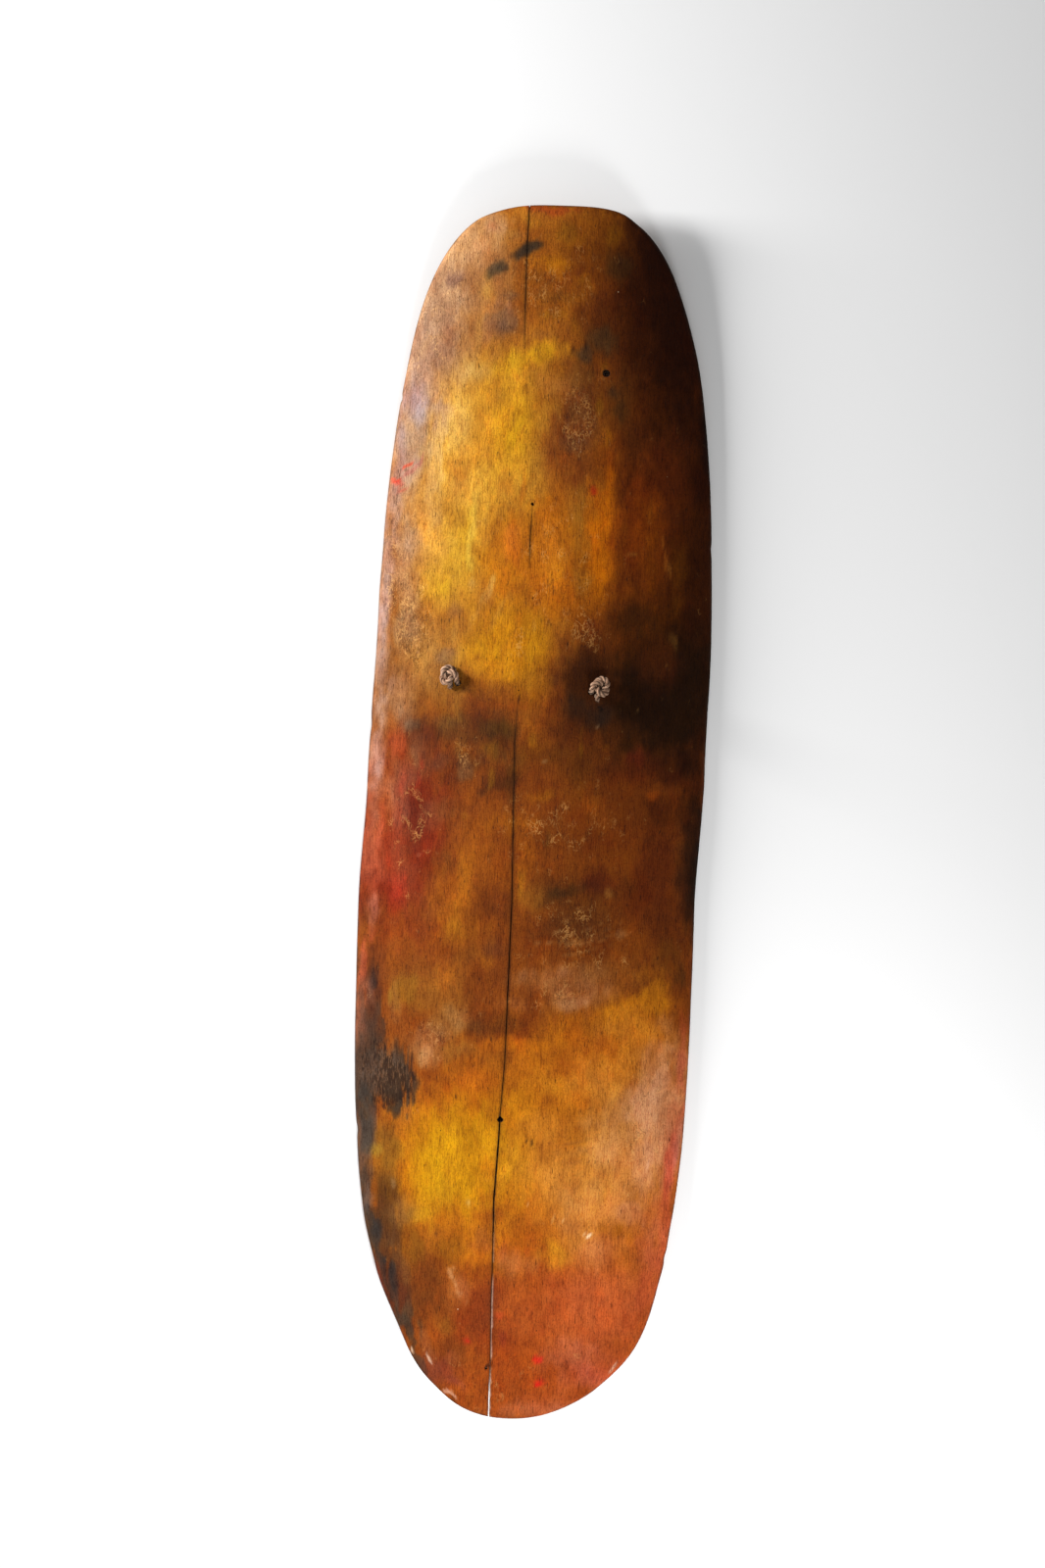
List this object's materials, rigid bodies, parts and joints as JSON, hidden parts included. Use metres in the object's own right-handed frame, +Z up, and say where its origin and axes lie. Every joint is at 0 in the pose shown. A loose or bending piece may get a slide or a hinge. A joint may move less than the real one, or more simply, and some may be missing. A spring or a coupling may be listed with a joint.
{
  "type": "war shield",
  "caption": "Long oval carved wooden shield, gently arched across, painted in earth colours, with a knotted rope grip behind and a crack along the grain.",
  "frame": {"origin": "on the ground, under the middle of the shield's bounding box, with the shield lying on its back", "axes": "+Y along the shield towards its squarer upper end, +Z up and out of the painted front, +X to the right as the front is seen from above with the upper end away"},
  "size_m": [0.4293, 1.5, 0.0728],
  "materials": {
    "painted_wood": "hewn light wood with soft, worn patches of yellow, orange, red-brown and black paint, matt with a dull rubbed sheen",
    "plant_fibre_rope": "dry twisted plant fibre, grey-tan and frayed"
  },
  "bodies": {
    "root": {"shield_board": "painted_wood", "handle_cord": "plant_fibre_rope"}
  },
  "joints": []
}
